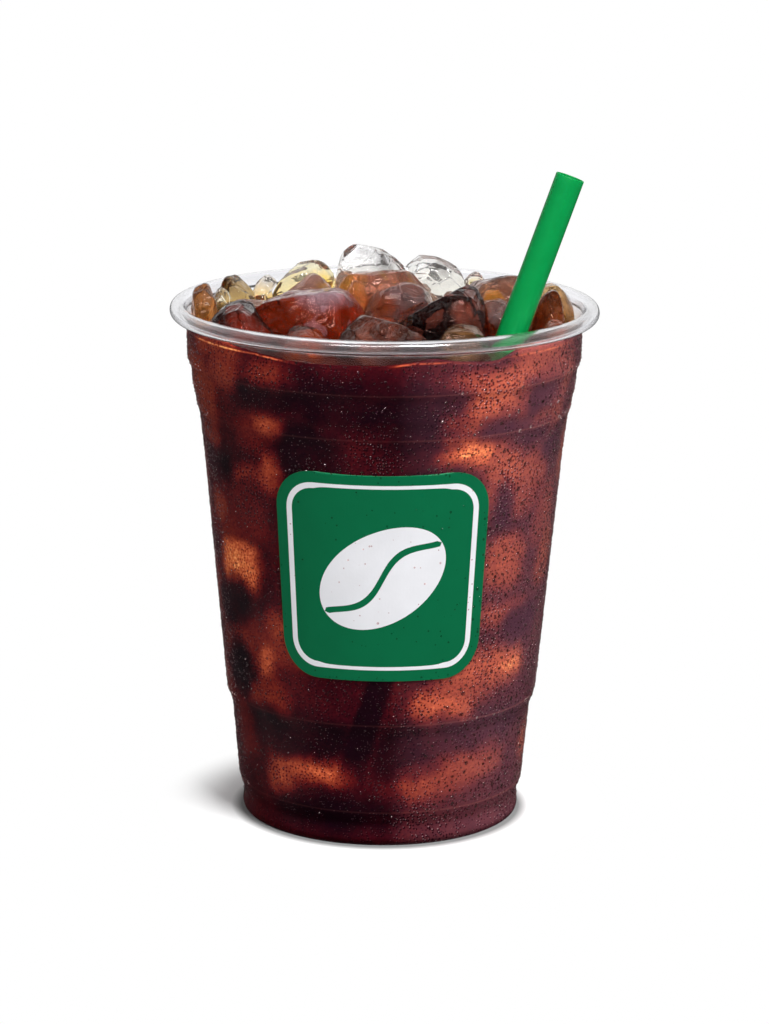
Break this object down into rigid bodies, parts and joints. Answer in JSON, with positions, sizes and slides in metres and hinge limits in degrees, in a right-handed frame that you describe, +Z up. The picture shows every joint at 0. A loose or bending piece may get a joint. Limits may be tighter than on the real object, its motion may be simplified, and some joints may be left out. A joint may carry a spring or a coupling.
{
  "type": "iced cold brew coffee",
  "caption": "Clear plastic cup filled with dark cold brew coffee, topped with a heap of ice, with a straight straw leaning to the right.",
  "frame": {"origin": "centre of the ring that the cup stands on", "axes": "+Z up along the cup's axis, -Y towards the side with the printed badge, +X to the right seen from there, the way the straw leans"},
  "size_m": [0.098, 0.098, 0.1525],
  "materials": {
    "clear_plastic": "clear thin moulded plastic, wet with fine beads of condensation",
    "cold_brew": "dark red-brown coffee, glossy, lighter where sunk ice lies near the wall",
    "straw_plastic": "opaque green plastic with a soft gloss",
    "ice_clear": "wet clear ice with a pale yellow cast",
    "ice_amber": "wet ice tinted amber by coffee",
    "ice_brown": "wet ice tinted dark brown by coffee"
  },
  "bodies": {
    "root": {"cup": "clear_plastic", "drink": "cold_brew", "straw": "straw_plastic", "ice_tall_clear": "ice_clear", "ice_dark_wedge": "ice_brown", "ice_big_amber": "ice_brown", "ice_clear_right": "ice_clear", "ice_yellow": "ice_clear", "ice_centre": "ice_amber", "ice_front_centre": "ice_brown", "ice_front_left": "ice_brown", "ice_right": "ice_amber", "ice_top_centre": "ice_amber", "ice_pink_facet": "ice_amber", "ice_small_orange": "ice_amber", "ice_grey_brown": "ice_amber", "ice_beside_straw": "ice_amber", "ice_orange_yellow": "ice_amber", "ice_far_left": "ice_amber", "ice_left_peak": "ice_clear", "ice_left_clear": "ice_clear", "ice_dark_edged": "ice_clear", "ice_far_right": "ice_amber", "ice_front_small": "ice_brown", "ice_front_right": "ice_brown", "ice_yellow_tip": "ice_clear", "ice_right_small": "ice_brown", "ice_left_middle": "ice_amber", "ice_left_inner": "ice_amber", "ice_middle_right": "ice_amber", "ice_front_inner": "ice_brown", "ice_back_left": "ice_amber", "ice_back_middle": "ice_amber", "ice_back_right": "ice_amber"}
  },
  "joints": []
}
